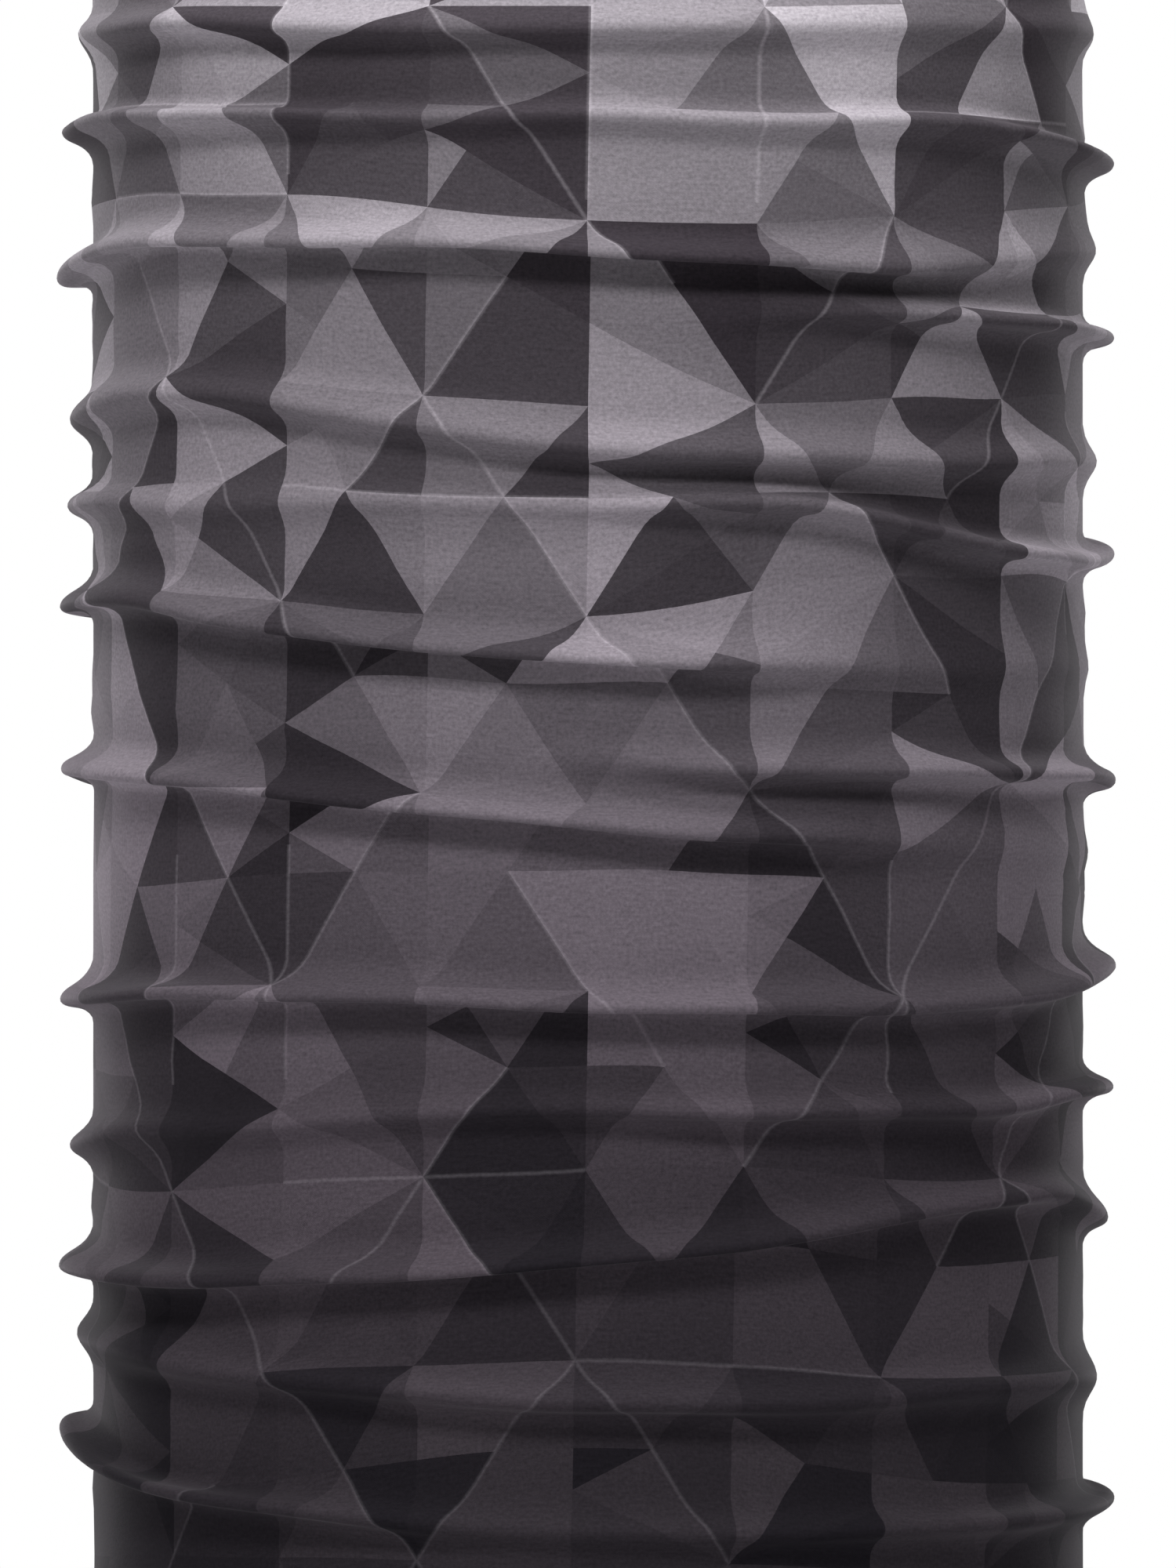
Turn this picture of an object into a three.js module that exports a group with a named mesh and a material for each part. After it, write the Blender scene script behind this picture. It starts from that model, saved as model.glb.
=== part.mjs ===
// A neck gaiter: one seamless knitted tube, hemmed at both ends and pushed down into
// soft gathers, as it sits round a neck. Millimetres, +Z up. The origin is the middle
// of the bottom edge, and -Y is the front.
import * as THREE from 'three';

// The knitted tube
const tubeRadius = 75; // outside of the cloth between two gathers
const tubeHeight = 290; // standing height as gathered
const clothThickness = 0.8; // one layer of the knit, with its loft
const touchGap = 0.3; // air left between two pieces that lie on each other

// The gathers, which are rings of cloth that bulge out of the wall
const gatherPitch = 17.5; // wanted spacing up the tube
const gatherRise = 5.5; // how far a crest stands out of the wall
const gatherFoot = 9; // height of a gather where it leaves the wall
const gatherDroop = 1.2; // how far a crest hangs below the middle of its foot
const gatherSwell = 0.2; // share by which the rise grows and fades, twice round
const gatherTurn = 2.4; // radians by which that swell turns from one gather to the next
const gatherEndRoom = 3; // plain wall between a hem and the first gather
// How far each gather climbs from left to right, and from back to front, repeated up the tube
const gatherLeans = [-1.5, 2.5, 1.0, 3.0, 1.5, 2.0, 0.5, -1.5, 1.0, -2.5, -1.5, -3.0, -2.0, 0.5];
const gatherBows = [1.0, -1.5, -2.0, 0.5, 2.0, 0.5, -2.0, -1.0, -2.5, 1.5, -1.0, 2.5, 1.0, -0.5];

// The turned-in hems and their stitching, alike at both ends
const hemDepth = 15; // how far the cloth is turned in
const threadDiameter = 0.4;
const stitchRowInset = 2; // from the raw edge of the hem to the nearer row of stitches
const stitchRowSpacing = 5; // between the two rows

// The care label, on the inside of the back
const labelWidth = 24;
const labelLength = 38;
const labelThickness = 0.35;
const labelOverlap = 9; // how far the label reaches down over the hem
const labelStitchInset = 3; // from the label's lower end to its line of stitches
const labelStitchMargin = 1.5; // from each side of the label to the end of that line

// Every ring has its corners in the same places round the tube, so that gaps stay even.
const aroundSegments = 40;
const facetShare = Math.cos(Math.PI / aroundSegments);
const labelSegments = 10;
const backAngle = Math.PI / 2; // in the plan, where +X is 0

// Radii, from the wall inwards
const tubeInnerRadius = tubeRadius - clothThickness;
const hemOuterRadius = tubeInnerRadius - touchGap;
const hemInnerRadius = hemOuterRadius - clothThickness;
const looperOuterRadius = hemInnerRadius - touchGap;
const looperInnerRadius = looperOuterRadius - threadDiameter;
const labelOuterRadius = looperInnerRadius * facetShare - touchGap;
const labelInnerRadius = labelOuterRadius - labelThickness;
const labelStitchOuterRadius = labelInnerRadius - touchGap;
const labelStitchInnerRadius = labelStitchOuterRadius - threadDiameter;

// A ring turned about Z from a closed outline of [radius, height] pairs, listed anticlockwise.
function turnedRing(outline) {
  const points = outline.map(([radius, height]) => new THREE.Vector2(radius, height));
  points.push(points[0].clone());
  const ring = new THREE.LatheGeometry(points, aroundSegments);
  ring.rotateX(Math.PI / 2);
  return ring;
}

function bandOutline(innerRadius, outerRadius, low, high) {
  return [
    [innerRadius, low],
    [outerRadius, low],
    [outerRadius, high],
    [innerRadius, high],
  ];
}

// The gathers from the bottom up: the middle of each foot, its lean, its bow and its swell's turn.
function gathers() {
  const lowest = hemDepth + gatherEndRoom;
  const room = tubeHeight - 2 * lowest;
  const count = Math.floor(room / gatherPitch);
  const spacing = room / count;
  return Array.from({ length: count }, (_, i) => ({
    middle: lowest + spacing * (i + 0.5),
    lean: gatherLeans[i % gatherLeans.length],
    bow: gatherBows[i % gatherBows.length],
    turn: gatherTurn * i,
  }));
}

// The wall from the bottom up, as rows of corners. Each gather is a foot, a crest and a foot.
function wallRows() {
  const level = { lean: 0, bow: 0, turn: 0, rise: 0 };
  const rows = [{ ...level, height: 0 }];
  for (const gather of gathers()) {
    rows.push({ ...gather, rise: 0, height: gather.middle - gatherFoot / 2 });
    rows.push({ ...gather, rise: gatherRise, height: gather.middle - gatherDroop });
    rows.push({ ...gather, rise: 0, height: gather.middle + gatherFoot / 2 });
  }
  rows.push({ ...level, height: tubeHeight });
  return rows;
}

// The tube's outline runs up the outside of the wall and down the inside. The plain turned
// ring is then gathered: each corner moves out by its row's rise and up by its lean and bow.
function gatheredTube() {
  const rows = wallRows();
  const outside = rows.map((row) => ({ ...row, radius: tubeRadius }));
  const inside = rows.map((row) => ({ ...row, radius: tubeInnerRadius })).reverse();
  const outlineRows = [...outside, ...inside];
  const tube = turnedRing(outlineRows.map((row) => [row.radius, row.height]));
  const corners = tube.getAttribute('position');
  const cornersPerStep = outlineRows.length + 1;
  for (let i = 0; i < corners.count; i += 1) {
    const row = outlineRows[(i % cornersPerStep) % outlineRows.length];
    const step = Math.floor(i / cornersPerStep) % aroundSegments;
    const angle = (step * 2 * Math.PI) / aroundSegments; // 0 at the front, growing to the right
    const swell = 1 + gatherSwell * Math.sin(2 * angle + row.turn);
    const radius = row.radius + row.rise * swell;
    const climb = row.lean * Math.sin(angle) + row.bow * Math.cos(angle);
    corners.setXYZ(i, radius * Math.sin(angle), -radius * Math.cos(angle), row.height + climb);
  }
  tube.computeVertexNormals();
  return tube;
}

// A sheet bent round the inside of the back, between two radii and two heights.
function bentStrip(innerRadius, outerRadius, width, low, high) {
  const halfAngle = width / (innerRadius + outerRadius);
  const plan = new THREE.Shape();
  plan.absarc(0, 0, outerRadius, backAngle - halfAngle, backAngle + halfAngle, false);
  plan.absarc(0, 0, innerRadius, backAngle + halfAngle, backAngle - halfAngle, true);
  plan.closePath();
  const strip = new THREE.ExtrudeGeometry(plan, {
    depth: high - low,
    bevelEnabled: false,
    curveSegments: labelSegments,
  });
  strip.translate(0, 0, low);
  return strip;
}

const knit = { roughness: 0.9, metalness: 0 };
const printedKnit = () => new THREE.MeshStandardMaterial({ color: 0x6e696e, ...knit });
const paleKnit = () => new THREE.MeshStandardMaterial({ color: 0xa9a4a8, ...knit });
const darkKnit = () => new THREE.MeshStandardMaterial({ color: 0x262426, ...knit });
const thread = () => new THREE.MeshStandardMaterial({ color: 0x3a373a, roughness: 0.6, metalness: 0 });
const satin = () => new THREE.MeshStandardMaterial({ color: 0xe6e4e1, roughness: 0.45, metalness: 0 });

const gaiter = new THREE.Group();

function add(parent, name, geometry, material) {
  const mesh = new THREE.Mesh(geometry, material);
  mesh.name = name;
  parent.add(mesh);
}

// One end of the tube. Heights are measured from the edge into the tube, and inward is 1
// for the bottom end, whose hem runs up, and -1 for the top end, whose hem runs down.
function addHem(name, edgeHeight, inward, hemMaterial) {
  const end = new THREE.Group();
  end.name = `${name}_end`;
  gaiter.add(end);
  const band = (innerRadius, outerRadius, near, far) => {
    const heights = [edgeHeight + inward * near, edgeHeight + inward * far].sort((a, b) => a - b);
    return turnedRing(bandOutline(innerRadius, outerRadius, ...heights));
  };
  const threadHalf = threadDiameter / 2;
  const needleInnerRadius = tubeRadius + touchGap;
  const needleRow = (depth) =>
    band(needleInnerRadius, needleInnerRadius + threadDiameter, depth - threadHalf, depth + threadHalf);
  const farRow = hemDepth - stitchRowInset;
  const nearRow = farRow - stitchRowSpacing;
  add(end, `${name}_hem`, band(hemInnerRadius, hemOuterRadius, touchGap, hemDepth), hemMaterial);
  add(end, `${name}_needle_thread_edge`, needleRow(nearRow), thread());
  add(end, `${name}_needle_thread_inner`, needleRow(farRow), thread());
  const looper = band(looperInnerRadius, looperOuterRadius, nearRow - threadHalf, farRow + threadHalf);
  add(end, `${name}_looper_thread`, looper, thread());
}

function addCareLabel() {
  const low = hemDepth - labelOverlap;
  const label = bentStrip(labelInnerRadius, labelOuterRadius, labelWidth, low, low + labelLength);
  add(gaiter, 'care_label', label, satin());
  const stitchLow = low + labelStitchInset;
  const stitchWidth = labelWidth - 2 * labelStitchMargin;
  const stitch = bentStrip(
    labelStitchInnerRadius,
    labelStitchOuterRadius,
    stitchWidth,
    stitchLow,
    stitchLow + threadDiameter,
  );
  add(gaiter, 'care_label_stitch', stitch, thread());
}

add(gaiter, 'tube_body', gatheredTube(), printedKnit());
addHem('bottom', 0, 1, darkKnit());
addHem('top', tubeHeight, -1, paleKnit());
addCareLabel();

export default gaiter;
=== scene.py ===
"""A printed neck gaiter, gathered into soft folds. Blender 4.5, in metres, +Z up and -Y the front.

Angles run round the tube from the front (0) to the right (90 degrees). The cloth has coordinates of its
own: across, round the tube, and along, from the bottom edge to the top one. The print, the knit and the
hems all follow those, so that they bend with every fold.
"""
import math

import bpy
import numpy as np
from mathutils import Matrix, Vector


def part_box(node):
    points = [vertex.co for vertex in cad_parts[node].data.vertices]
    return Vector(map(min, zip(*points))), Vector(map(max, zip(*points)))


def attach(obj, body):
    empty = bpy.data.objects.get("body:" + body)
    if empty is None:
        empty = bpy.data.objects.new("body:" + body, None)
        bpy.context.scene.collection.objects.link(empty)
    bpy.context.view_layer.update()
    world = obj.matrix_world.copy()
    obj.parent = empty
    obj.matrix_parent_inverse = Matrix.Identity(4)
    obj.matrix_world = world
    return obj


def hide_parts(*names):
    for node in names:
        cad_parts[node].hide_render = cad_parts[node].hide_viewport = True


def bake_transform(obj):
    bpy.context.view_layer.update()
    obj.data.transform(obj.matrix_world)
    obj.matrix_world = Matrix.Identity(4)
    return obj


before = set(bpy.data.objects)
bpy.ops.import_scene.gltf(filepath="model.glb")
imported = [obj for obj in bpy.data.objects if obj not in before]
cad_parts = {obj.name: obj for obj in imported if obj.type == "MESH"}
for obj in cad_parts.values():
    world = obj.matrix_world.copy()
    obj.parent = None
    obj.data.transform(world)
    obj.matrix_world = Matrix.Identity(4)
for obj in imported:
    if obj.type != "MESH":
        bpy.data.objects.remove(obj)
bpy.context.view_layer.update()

MM = 0.001

# ---- sizes, with the object's own from the frame
TOUCH_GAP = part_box("bottom_hem")[0].z
NEEDLE_LOW, NEEDLE_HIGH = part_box("bottom_needle_thread_edge")
NEEDLE_THREAD = NEEDLE_HIGH.z - NEEDLE_LOW.z
WALL_RADIUS = NEEDLE_HIGH.x - NEEDLE_THREAD - TOUCH_GAP
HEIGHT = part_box("tube_body")[1].z
HEM_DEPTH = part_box("bottom_hem")[1].z
GIRTH = math.tau * WALL_RADIUS

CLOTH = 0.55 * MM  # the knit's own thickness
TURN_RADIUS = 0.6 * MM  # outside of the turn where the cloth folds in at each edge
TURN_TAIL = 0.5 * MM  # cloth past that turn, where the hem piece takes over
TURN_ROWS = 6
COLUMNS = 140  # faces round the tube
ROWS = 341  # faces along the cloth, between the two turns

PRINT_COLUMNS = 20  # columns of facets round the tube
COLUMN_WIDTH = GIRTH / PRINT_COLUMNS
TWIST = math.radians(4.7)  # how far the top edge is turned against the bottom one

BODY = "gaiter_body"
TOP_BODY = "top_edge"

# ---- the folds
# Each fold is a ring or part of one: cloth in its lower half in mm, the steepest tilt of its lower and
# upper halves in radians, how crisp its crest is, and the points that its crest passes, each an angle in
# degrees, a height in mm and a strength, which is 0 where the fold has died out. From the bottom edge up.
FOLDS = (
    (6.9, 1.60, 1.25, 4.2, (
        (-150, 24, 0.8), (-90, 23, 0.7), (-30, 22, 0.5), (20, 23, 0.6), (80, 22, 0.9), (140, 24, 0.7),
    )),
    (7.1, 1.85, 1.45, 4.0, (
        (-170, 48, 0.5), (-120, 52, 0.9), (-90, 52, 1.05), (-61, 45.5, 1.0), (-39, 41.3, 0.9),
        (-23, 39, 0.55), (-8, 38, 0.15), (12, 38, 0.2), (33, 37.8, 0.4), (52, 38.3, 0.6),
        (90, 40.2, 0.95), (130, 43, 0.7),
    )),
    (7.3, 1.50, 1.10, 3.6, (
        (-90, 66, 0.25), (-46, 62, 0.55), (-23, 59, 0.8), (-5, 57.4, 0.9), (14, 56.8, 0.9),
        (35, 57.3, 0.75), (60, 58.5, 0.4), (90, 59.8, 0.15), (150, 64, 0.7), (-150, 67, 0.6),
    )),
    (6.9, 2.15, 1.15, 4.0, (
        (-90, 76.2, 0.8), (-46, 74, 0.95), (-23, 75.2, 0.95), (-5, 77.6, 1.0), (14, 79.9, 0.9),
        (28, 82.3, 0.7), (45, 85, 0.6), (65, 88, 0.55), (80, 85, 0.5), (90, 83.5, 0.5), (140, 81, 0.9),
        (-140, 78, 0.8),
    )),
    (6.8, 1.95, 1.30, 4.4, (
        (-90, 93.6, 0.35), (-60, 96, 0.1), (-5, 101, 0.3), (18, 99.6, 0.6), (50, 100.7, 0.6),
        (75, 103, 0.8), (90, 104, 0.85), (140, 100, 0.6), (-140, 95, 0.7),
    )),
    (6.8, 2.10, 1.20, 4.4, (
        (-90, 116.2, 1.0), (-46, 117.4, 0.85), (-25, 116.8, 0.8), (-5, 115.6, 0.85), (17, 115, 0.85),
        (45, 115.6, 0.7), (63, 117.8, 0.8), (80, 120.4, 0.85), (90, 122, 0.8), (140, 120, 0.8),
        (-140, 117, 0.7),
    )),
    (6.8, 2.15, 1.15, 4.0, (
        (-90, 150.7, 0.75), (-46, 148.9, 0.8), (-25, 146, 0.95), (-5, 143.6, 1.0), (10, 142, 0.9),
        (23, 141.2, 0.55), (40, 140, 0.05), (90, 138, 0.0), (150, 139, 0.5), (-150, 147, 0.8),
    )),
    (6.8, 2.00, 1.30, 4.4, (
        (-90, 160, 0.0), (0, 153.5, 0.0), (14, 151, 0.3), (32, 150.7, 0.6), (45, 150.8, 0.7),
        (63, 150.3, 0.8), (80, 149.7, 0.9), (90, 148.9, 0.85), (140, 152, 0.8), (-150, 160, 0.2),
    )),
    (6.8, 2.15, 1.15, 4.0, (
        (-90, 175.6, 0.7), (-57, 177.2, 0.7), (-42, 173, 0.8), (-22, 169.2, 1.0), (-5, 167.4, 1.05),
        (10, 166.7, 0.85), (20, 166.3, 0.35), (32, 166, 0.05), (90, 167, 0.0), (150, 170, 0.6),
        (-140, 174, 0.8),
    )),
    (6.9, 1.85, 1.55, 4.0, (
        (-120, 190.5, 0.6), (-90, 191.1, 0.6), (-70, 191.3, 0.4), (-50, 190.5, 0.1), (0, 190.8, 0.15),
        (12, 191.3, 0.5), (23, 190.5, 0.65), (39, 187, 0.75), (55, 183.6, 0.9), (71, 181.4, 0.95),
        (90, 184.2, 0.9), (135, 186, 0.8), (180, 188, 0.6),
    )),
    (7.3, 1.50, 1.10, 3.6, (
        (-90, 204.2, 0.6), (-61, 207.2, 0.55), (-40, 207, 0.55), (-22, 203, 0.5), (-5, 199.5, 0.65),
        (14, 197.4, 0.8), (33, 197.2, 0.7), (50, 197, 0.45), (90, 198, 0.2), (150, 200, 0.7),
        (-150, 203, 0.8),
    )),
    (6.8, 1.85, 1.40, 4.6, (
        (10, 217.5, 0.0), (22, 219, 0.15), (37, 219.6, 0.6), (60, 217.4, 0.85), (90, 216.1, 0.85),
        (135, 216.5, 0.6), (170, 216, 0.2), (-150, 215, 0.0), (-60, 217, 0.0),
    )),
    (7.1, 2.15, 1.20, 3.8, (
        (-130, 227, 0.8), (-90, 224.6, 0.78), (-61, 230, 0.95), (-37, 230, 0.95), (-18, 229.2, 1.0),
        (-1, 227.7, 1.0), (17, 226.7, 1.0), (33, 225.4, 0.65), (50, 227, 0.15), (90, 230, 0.1),
        (140, 230, 0.5), (180, 229, 0.9),
    )),
    (7.3, 1.45, 1.75, 4.2, (
        (-90, 248.2, 0.9), (-53, 249.4, 0.9), (-34, 248.2, 0.65), (-15, 247.8, 0.4), (13, 247.8, 0.4),
        (45, 247.3, 0.55), (58, 246.6, 0.75), (75, 244.2, 0.85), (90, 242.8, 0.95), (135, 245, 0.7),
        (180, 248, 0.6), (-130, 249.5, 0.8),
    )),
    (7.0, 1.55, 1.20, 4.0, (
        (-90, 262, 0.35), (-60, 262.3, 0.65), (-30, 262.3, 0.7), (-15, 261.4, 0.55), (0, 260.9, 0.45),
        (15, 261, 0.4), (35, 262, 0.2), (90, 263, 0.15), (150, 264, 0.5), (-150, 263, 0.5),
    )),
)
PATH_SMOOTHING = 5.0  # degrees
FOOT_POWER = 0.75  # how a fold's tilt grows from its foot: below 1 is a short foot, above 1 a long one
SIDE_LIFT = 0.22  # share by which a fold's lower half is less undercut at the sides and back
MOST_TURN = 3.4  # radians that a fold's two halves may tilt in all before they would touch
DYING_STEEPNESS = 0.5  # power of its strength that a fold's tilt follows as it dies out
DYING_WIDTH = 0.75  # share of its cloth that a fold keeps when it has died out
FOLD_CLEARANCE = 4.5 * MM  # the least height between the crests of two folds
LEAST_STRENGTH = 1e-3  # which keeps every half fold's reach above 0
LOBE_SAMPLES = 65  # tilts summed along a half fold
PROFILE_STEPS = 1800  # steps along the cloth when a column's folds are followed
BEND_SPREAD = 31  # steps over which a bend draws rows together
BEND_CROWDING = 80.0  # bend, in radians in a metre, that brings rows twice as close

# How the folds stray from those paths: the most waves round the tube, and how far
FOLD_SEED = 7
HEIGHT_NOISE = (11, 0.7 * MM)
BACK_HEIGHT_NOISE = (6, 2.4 * MM)
STRENGTH_NOISE = (14, 0.12)
BACK_STRENGTH_NOISE = (7, 0.30)
SIDE_TILT_NOISE = (8, 0.20)

# Small creases between the folds, each a short soft ridge that dies out at both ends
CREASE_SEED = 23
CREASES = 110
CREASE_MARGIN = 6 * MM  # between a hem and the nearest crease
CREASE_HALF_TURN = (9, 26)  # degrees
CREASE_HALF_HEIGHT = (1.0 * MM, 2.2 * MM)
CREASE_RISE = 0.6 * MM
CREASE_RISE_SHARE = (0.3, 1.0)  # of that rise that a crease has
CREASE_SLANT = 5 * MM  # height that a crease gains or loses in a radian

# The sewn edges wave a little
EDGE_FADE = 26 * MM  # from an edge to where its waves have mostly gone
EDGE_WAVES = (2, 3, 5, 7, 11)  # round the tube
EDGE_SWAY = 0.9 * MM
EDGE_LIFT = 0.35 * MM
SWAY_SEEDS = (3, 4)  # for the bottom edge and the top one
LIFT_SEEDS = (5, 6)

# ---- hems, threads and label
NEEDLE_DEPTHS = tuple(
    (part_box(f"bottom_needle_thread_{row}")[0].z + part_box(f"bottom_needle_thread_{row}")[1].z) / 2
    for row in ("edge", "inner")
)  # from the edge to each row of needle stitches
HEM_ROWS = 14
HEM_SEED = 41
HEM_RAGGED = (30, 0.35 * MM)  # most waves round the hem's cut edge, and how far it strays
HEM_FACE = WALL_RADIUS - 2 * TURN_RADIUS  # inner face of the turned-in cloth
STITCHES = 168  # in each row round the tube
STITCH_SHARE = 0.86  # of the pitch that a stitch covers before the thread dives through the cloth
STITCH_STEPS = 9
STITCH_STRAY = 0.10 * MM  # how far a stitch lies above or below its row
STITCH_STRAY_TURN = 7.3  # radians between one stitch's stray and the next one's
NEEDLE_DIAMETER = 0.34 * MM
NEEDLE_ARCH = 0.20 * MM
LOOPER_DIAMETER = 0.28 * MM
LOOPER_STEPS = 10  # points in each of its zigzags
LOOPER_SHARPNESS = 0.12  # how much more sharply it turns back at each row than a plain wave does
LOOPER_SWING = 0.30  # of the pitch that it swings back and forth along the rows
LOOPER_REST = 0.55  # of its diameter, from the hem's face to its middle at the rows
LOOPER_RISE = 0.35  # of its diameter that it stands further off half-way between them
THREAD_SIDES = 6

LABEL_LOW, LABEL_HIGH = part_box("care_label")
LABEL_WIDTH = LABEL_HIGH.x - LABEL_LOW.x
LABEL_LENGTH = LABEL_HIGH.z - LABEL_LOW.z
LABEL_CLOTH = 0.22 * MM
LABEL_RIB = 0.42  # mm between its ribs
LABEL_COLUMNS = 24
LABEL_ROWS = 40
LABEL_STAND_OFF = 0.75 * MM  # from the hem's face to the label's, over the looper thread
LABEL_CURL = 3.4 * MM  # how far it would lean in by a whole length past its flat part
LABEL_CURL_START = 0.2  # share of its length that stays flat
LABEL_CORNER = 0.25  # share by which one corner leans in more than the other
LABEL_WAVE = 0.5 * MM  # how far its free end waves in and out
LABEL_WAVE_START = 0.3  # share of a wave by which it is off the label's middle
LABEL_WAVE_TURN = 2.2  # radians by which it moves over from end to end
LABEL_STITCHES = 8
LABEL_STITCH_MARGIN = 1.5 * MM


def ring_smooth(values, degrees):
    """Values at even angles round the tube, smoothed by a bell of that many degrees."""
    waves = np.fft.rfftfreq(len(values), 1.0 / len(values))
    bell = np.exp(-0.5 * (waves * math.radians(degrees)) ** 2)
    return np.fft.irfft(np.fft.rfft(values) * bell, len(values))


def ring_noise(rng, count, waves, size):
    """Gentle random values at even angles, with up to that many waves round the tube."""
    angles = np.linspace(0, math.tau, count, endpoint=False)
    total = np.zeros(count)
    for wave in range(2, waves + 1):
        total += rng.normal() * np.cos(wave * angles + rng.uniform(0, math.tau)) / math.sqrt(wave)
    return size * total / np.abs(total).max()


def along_path(points, angles):
    """A fold's crest height in metres and its strength, at each angle in degrees."""
    at, height, strength = np.array(points).T
    height = np.interp(angles, at, height, period=360) * MM
    strength = np.interp(angles, at, strength, period=360)
    return ring_smooth(height, PATH_SMOOTHING), np.maximum(ring_smooth(strength, PATH_SMOOTHING), 0)


def lobe_tilt(share, tilt, crispness):
    """The cloth's tilt at a share of the way from a fold's foot to its crest, where it falls back to 0."""
    whole = FOOT_POWER + crispness
    peak = (FOOT_POWER / whole) ** (FOOT_POWER / crispness) * crispness / whole
    share = np.clip(share, 0, 1)
    return tilt * share ** FOOT_POWER * (1 - share ** crispness) / peak


def lobe_size(tilt, crispness):
    """How far out and how far up one unit of cloth reaches along a half fold, for each tilt."""
    share = (np.arange(LOBE_SAMPLES) + 0.5) / LOBE_SAMPLES
    path = lobe_tilt(share[:, None], tilt[None, :], crispness)
    return np.sin(path).mean(0), np.cos(path).mean(0)


def ring_slope(height):
    """How steeply a ring of heights climbs as it goes round the tube."""
    closed = np.concatenate([height[-1:], height, height[:1]])
    return np.gradient(closed)[1:-1] * len(height) / GIRTH


def strayed_path(rng, points, angles):
    """A fold's crest height and strength at each angle, with waves that grow towards the back."""
    count = len(angles)
    behind = np.where(np.abs(angles) > 90, np.cos(np.radians(angles)) ** 2, 0)
    height, strength = along_path(points, angles)
    height = height + ring_noise(rng, count, *HEIGHT_NOISE)
    height = height + ring_noise(rng, count, *BACK_HEIGHT_NOISE) * behind
    strength = strength * (1 + ring_noise(rng, count, *STRENGTH_NOISE)) + LEAST_STRENGTH
    strength = strength * (1 + ring_noise(rng, count, *BACK_STRENGTH_NOISE) * behind)
    return height, strength


def half_tilts(rng, lower_steepest, upper_steepest, strength, angles):
    """The steepest tilts of a fold's two halves at each angle, opened out where the halves would touch."""
    count = len(angles)
    aside = np.where(np.abs(angles) < 90, np.sin(np.radians(angles)) ** 2, 1)
    steepness = strength ** DYING_STEEPNESS
    lower = lower_steepest * steepness * (1 + ring_noise(rng, count, *SIDE_TILT_NOISE) * aside)
    lower = lower * (1 - SIDE_LIFT * aside)
    upper = upper_steepest * steepness * (1 + ring_noise(rng, count, *SIDE_TILT_NOISE) * aside)
    opened = np.minimum(1, MOST_TURN / (lower + upper))
    return lower * opened, upper * opened


def placed_folds(angles):
    """Each fold's halves and its crest's place along the cloth, at each angle, and the cloth they use."""
    rng = np.random.default_rng(FOLD_SEED)
    placed = []
    used = np.zeros(len(angles))
    below = np.full(len(angles), -FOLD_CLEARANCE)
    for lower_cloth, lower_steepest, upper_steepest, crispness, points in FOLDS:
        height, strength = strayed_path(rng, points, angles)
        height = np.maximum(height, below + FOLD_CLEARANCE)
        lower_tilt, upper_tilt = half_tilts(rng, lower_steepest, upper_steepest, strength, angles)
        lower_out, lower_up = lobe_size(lower_tilt, crispness)
        upper_out, upper_up = lobe_size(upper_tilt, crispness)
        lower = lower_cloth * MM * (DYING_WIDTH + (1 - DYING_WIDTH) * np.minimum(strength, 1))
        upper = lower * lower_out / upper_out
        lower_used = lower * (1 - lower_up)
        upper_used = upper * (1 - upper_up)
        fold = {
            "crest": height + used + lower_used,
            "lower": lower,
            "upper": upper,
            "lower_tilt": lower_tilt,
            "upper_tilt": upper_tilt,
            "crispness": crispness,
            "slope": ring_slope(height),
        }
        placed.append(fold)
        used = used + lower_used + upper_used
        below = height
    return placed, used


def fold_tilt(fold, along):
    """A fold's tilt of the cloth at each place along it."""
    rising = (along - fold["crest"] + fold["lower"]) / fold["lower"]
    falling = (fold["crest"] + fold["upper"] - along) / fold["upper"]
    lower = lobe_tilt(rising, fold["lower_tilt"], fold["crispness"])
    upper = lobe_tilt(falling, fold["upper_tilt"], fold["crispness"])
    return np.where(along < fold["crest"], lower, -upper)


def between(values):
    """The mean of each value down the columns and the next one."""
    return (values[1:] + values[:-1]) / 2


def running_sum(values):
    """The sum of all the values above each place down the columns, from 0 at the first."""
    return np.vstack([np.zeros(values.shape[1]), np.cumsum(values, axis=0)])


def resting_error(folds, along, out):
    """How far the wall has drifted off the form where it should rest on it, between neighbouring folds."""
    stops = [along[0]]
    for low, high in zip(folds[:-1], folds[1:]):
        stops.append((low["crest"] + low["upper"] + high["crest"] - high["lower"]) / 2)
    stops.append(along[-1])
    stops = np.array(stops)
    error = np.empty_like(out)
    for column in range(COLUMNS):
        places = np.maximum.accumulate(stops[:, column])
        drift = np.interp(places, along[:, column], out[:, column])
        error[:, column] = np.interp(along[:, column], places, drift)
    return error


def row_places(tilt, step):
    """How far each place along a column has got through its rows, which crowd where the cloth bends."""
    bend = np.abs(np.gradient(tilt, axis=0)) / step
    spread = np.ones(BEND_SPREAD) / BEND_SPREAD
    bend = np.apply_along_axis(lambda column: np.convolve(column, spread, mode="same"), 0, bend)
    density = 1 + bend / BEND_CROWDING
    reached = running_sum(between(density))
    return reached / reached[-1]


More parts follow.
